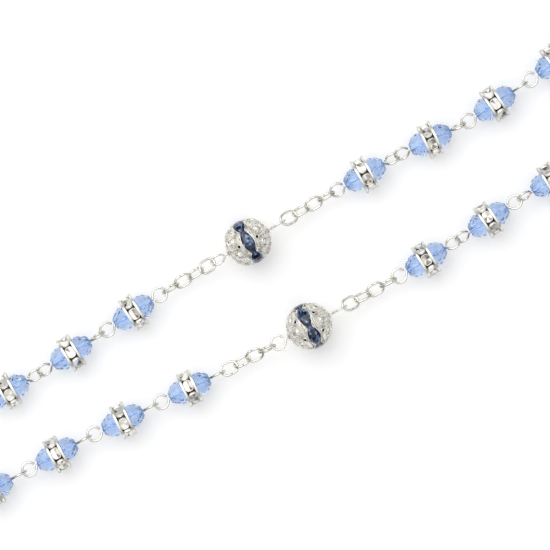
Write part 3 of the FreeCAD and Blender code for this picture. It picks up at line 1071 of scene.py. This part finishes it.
def dress_centrepiece(body):
    """A bezel, a wreath of clear stones and a beaded edge on the oval, and its cut stone."""
    low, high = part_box("centrepiece_stone")
    middle = (low + high) / 2 / MM
    half_u, half_v = ((high - low).x / 2 / MM, (high - low).y / 2 / MM)
    face = middle.copy()
    face.z = high.z / MM - CENTRE_PROUD
    at = Matrix.Translation(face * MM)
    trim = Piece(SATIN)
    bezel(trim, Vector((0, 0, 0.15)), oval(half_u + 0.15, half_v + 0.15), 0.26, 48)
    wreath = Piece(CLEAR)
    chance = random.Random(33).random
    place_on = oval(half_u + 1.75, half_v + 1.5)
    for k in range(WREATH_STONES):
        x, y = place_on((k + 0.5) / WREATH_STONES)
        bezel(trim, Vector((x, y, 0.15)), round_outline(0.92), 0.16)
        cut_stone(wreath, Vector((x, y, 0.05)), AHEAD, ASIDE, round_outline(0.82), 0.35, chance)
    edge = oval(half_u + 3.15, half_v + 2.85)
    for k in range(EDGE_GRAINS):
        x, y = edge(k / EDGE_GRAINS)
        granule(trim, Vector((x, y, 0.08)), 0.24)
    place("centrepiece_trim", trim.mesh("centrepiece_trim"), at, body, None, "silver")
    place("centrepiece_wreath", wreath.mesh("centrepiece_wreath"), at, body, None, "clear_crystal")
    gem = Piece(NAVY)
    cut_stone(gem, Vector((0, 0, 0)), AHEAD, ASIDE, oval(half_u, half_v), CENTRE_PROUD, chance)
    place("centrepiece_gem", gem.mesh("centrepiece_gem"), at, body, "centrepiece_stone", "navy_crystal")


CHILD_OF = {j["parent"]: j["child"] for j in frame["joints"]}

chance = random.Random(7)
seed = 0
for body, members in frame["record"]["behaviour"]["bodies"].items():
    for node in members:
        if "bead" in node:
            dress_beads(node, body, chance)
        elif "our_father" in node:
            seed += 1
            dress_father(node, body, seed)
        elif "chain" in node:
            dress_chain(node, body)
        elif node == "cross":
            dress_cross(node, body)
        elif node == "centrepiece":
            dress_centrepiece(body)
for node in ("centrepiece", "cross"):
    for slot in frame["nodes"][node].material_slots:
        slot.link = "OBJECT"
        slot.material = SILVER


# ---------------------------------------------------------------- stage, light and view


def middle_between(first, second):
    low_a, high_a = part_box(first)
    low_b, high_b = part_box(second)
    return (low_a + high_a + low_b + high_b) / 4


def make_floor():
    """A pale seamless table."""
    material, tree, shader = new_material("pale_table")
    soft = noise(tree, 3, 2.0)
    tree.links.new(ramp(tree, soft, ((0.3, (0.90, 0.90, 0.91)), (0.7, (0.93, 0.93, 0.935)))),
                   shader.inputs["Base Color"])
    shader.inputs["Roughness"].default_value = 0.85
    shader.inputs["Specular IOR Level"].default_value = 0.1
    shader.inputs["Emission Color"].default_value = (1.0, 1.0, 1.0, 1.0)
    shader.inputs["Emission Strength"].default_value = TABLE_GLOW
    work = bmesh.new()
    bmesh.ops.create_circle(work, cap_ends=True, segments=96, radius=8.0)
    mesh = bpy.data.meshes.new("table")
    work.to_mesh(mesh)
    work.free()
    mesh.materials.append(material)
    floor = bpy.data.objects.new("table", mesh)
    floor.location = (0, 0, -0.0001)
    bpy.context.scene.collection.objects.link(floor)


def make_world():
    """A white tent that darkens towards its foot, so that wire and rims have a drawn edge."""
    world = bpy.data.worlds.new("tent")
    bpy.context.scene.world = world
    world.use_nodes = True
    tree = world.node_tree
    place_node = tree.nodes.new("ShaderNodeTexCoord")
    split = tree.nodes.new("ShaderNodeSeparateXYZ")
    tree.links.new(place_node.outputs["Generated"], split.inputs["Vector"])
    tree.links.new(ramp(tree, split.outputs["Z"], TENT), tree.nodes["Background"].inputs["Color"])
    tree.nodes["Background"].inputs["Strength"].default_value = 1.0


def view_axes():
    turn = math.radians(VIEW_TURN)
    right = Vector((math.cos(turn), math.sin(turn), 0))
    return right, UP.cross(right)


def make_lights(target):
    right, up = view_axes()
    towards = (up - right).normalized() * 0.75 + UP * 1.0
    data = bpy.data.lights.new("window", "AREA")
    data.shape = "DISK"
    data.size = WINDOW_SIZE
    data.energy = WINDOW_POWER
    light = bpy.data.objects.new("window", data)
    light.location = target + towards * 0.8
    light.rotation_mode = "QUATERNION"
    light.rotation_quaternion = towards.to_track_quat("Z", "Y")
    bpy.context.scene.collection.objects.link(light)


def make_camera(target):
    data = bpy.data.cameras.new("above")
    data.sensor_width = SENSOR
    data.lens = SENSOR * VIEW_FROM / VIEW_WIDTH
    data.clip_start = 0.05
    data.clip_end = 20.0
    camera = bpy.data.objects.new("above", data)
    camera.location = target + UP * (VIEW_FROM * MM)
    camera.rotation_euler = (0, 0, math.radians(VIEW_TURN))
    bpy.context.scene.collection.objects.link(camera)
    bpy.context.scene.camera = camera


view_middle = middle_between("our_father_2", "our_father_3") + Vector((*VIEW_SHIFT, 0)) * MM
view_middle.z = VIEW_HEIGHT
make_floor()
make_world()
make_lights(view_middle)
make_camera(view_middle)
bpy.context.scene.view_settings.view_transform = "Standard"

bpy.context.view_layer.update()
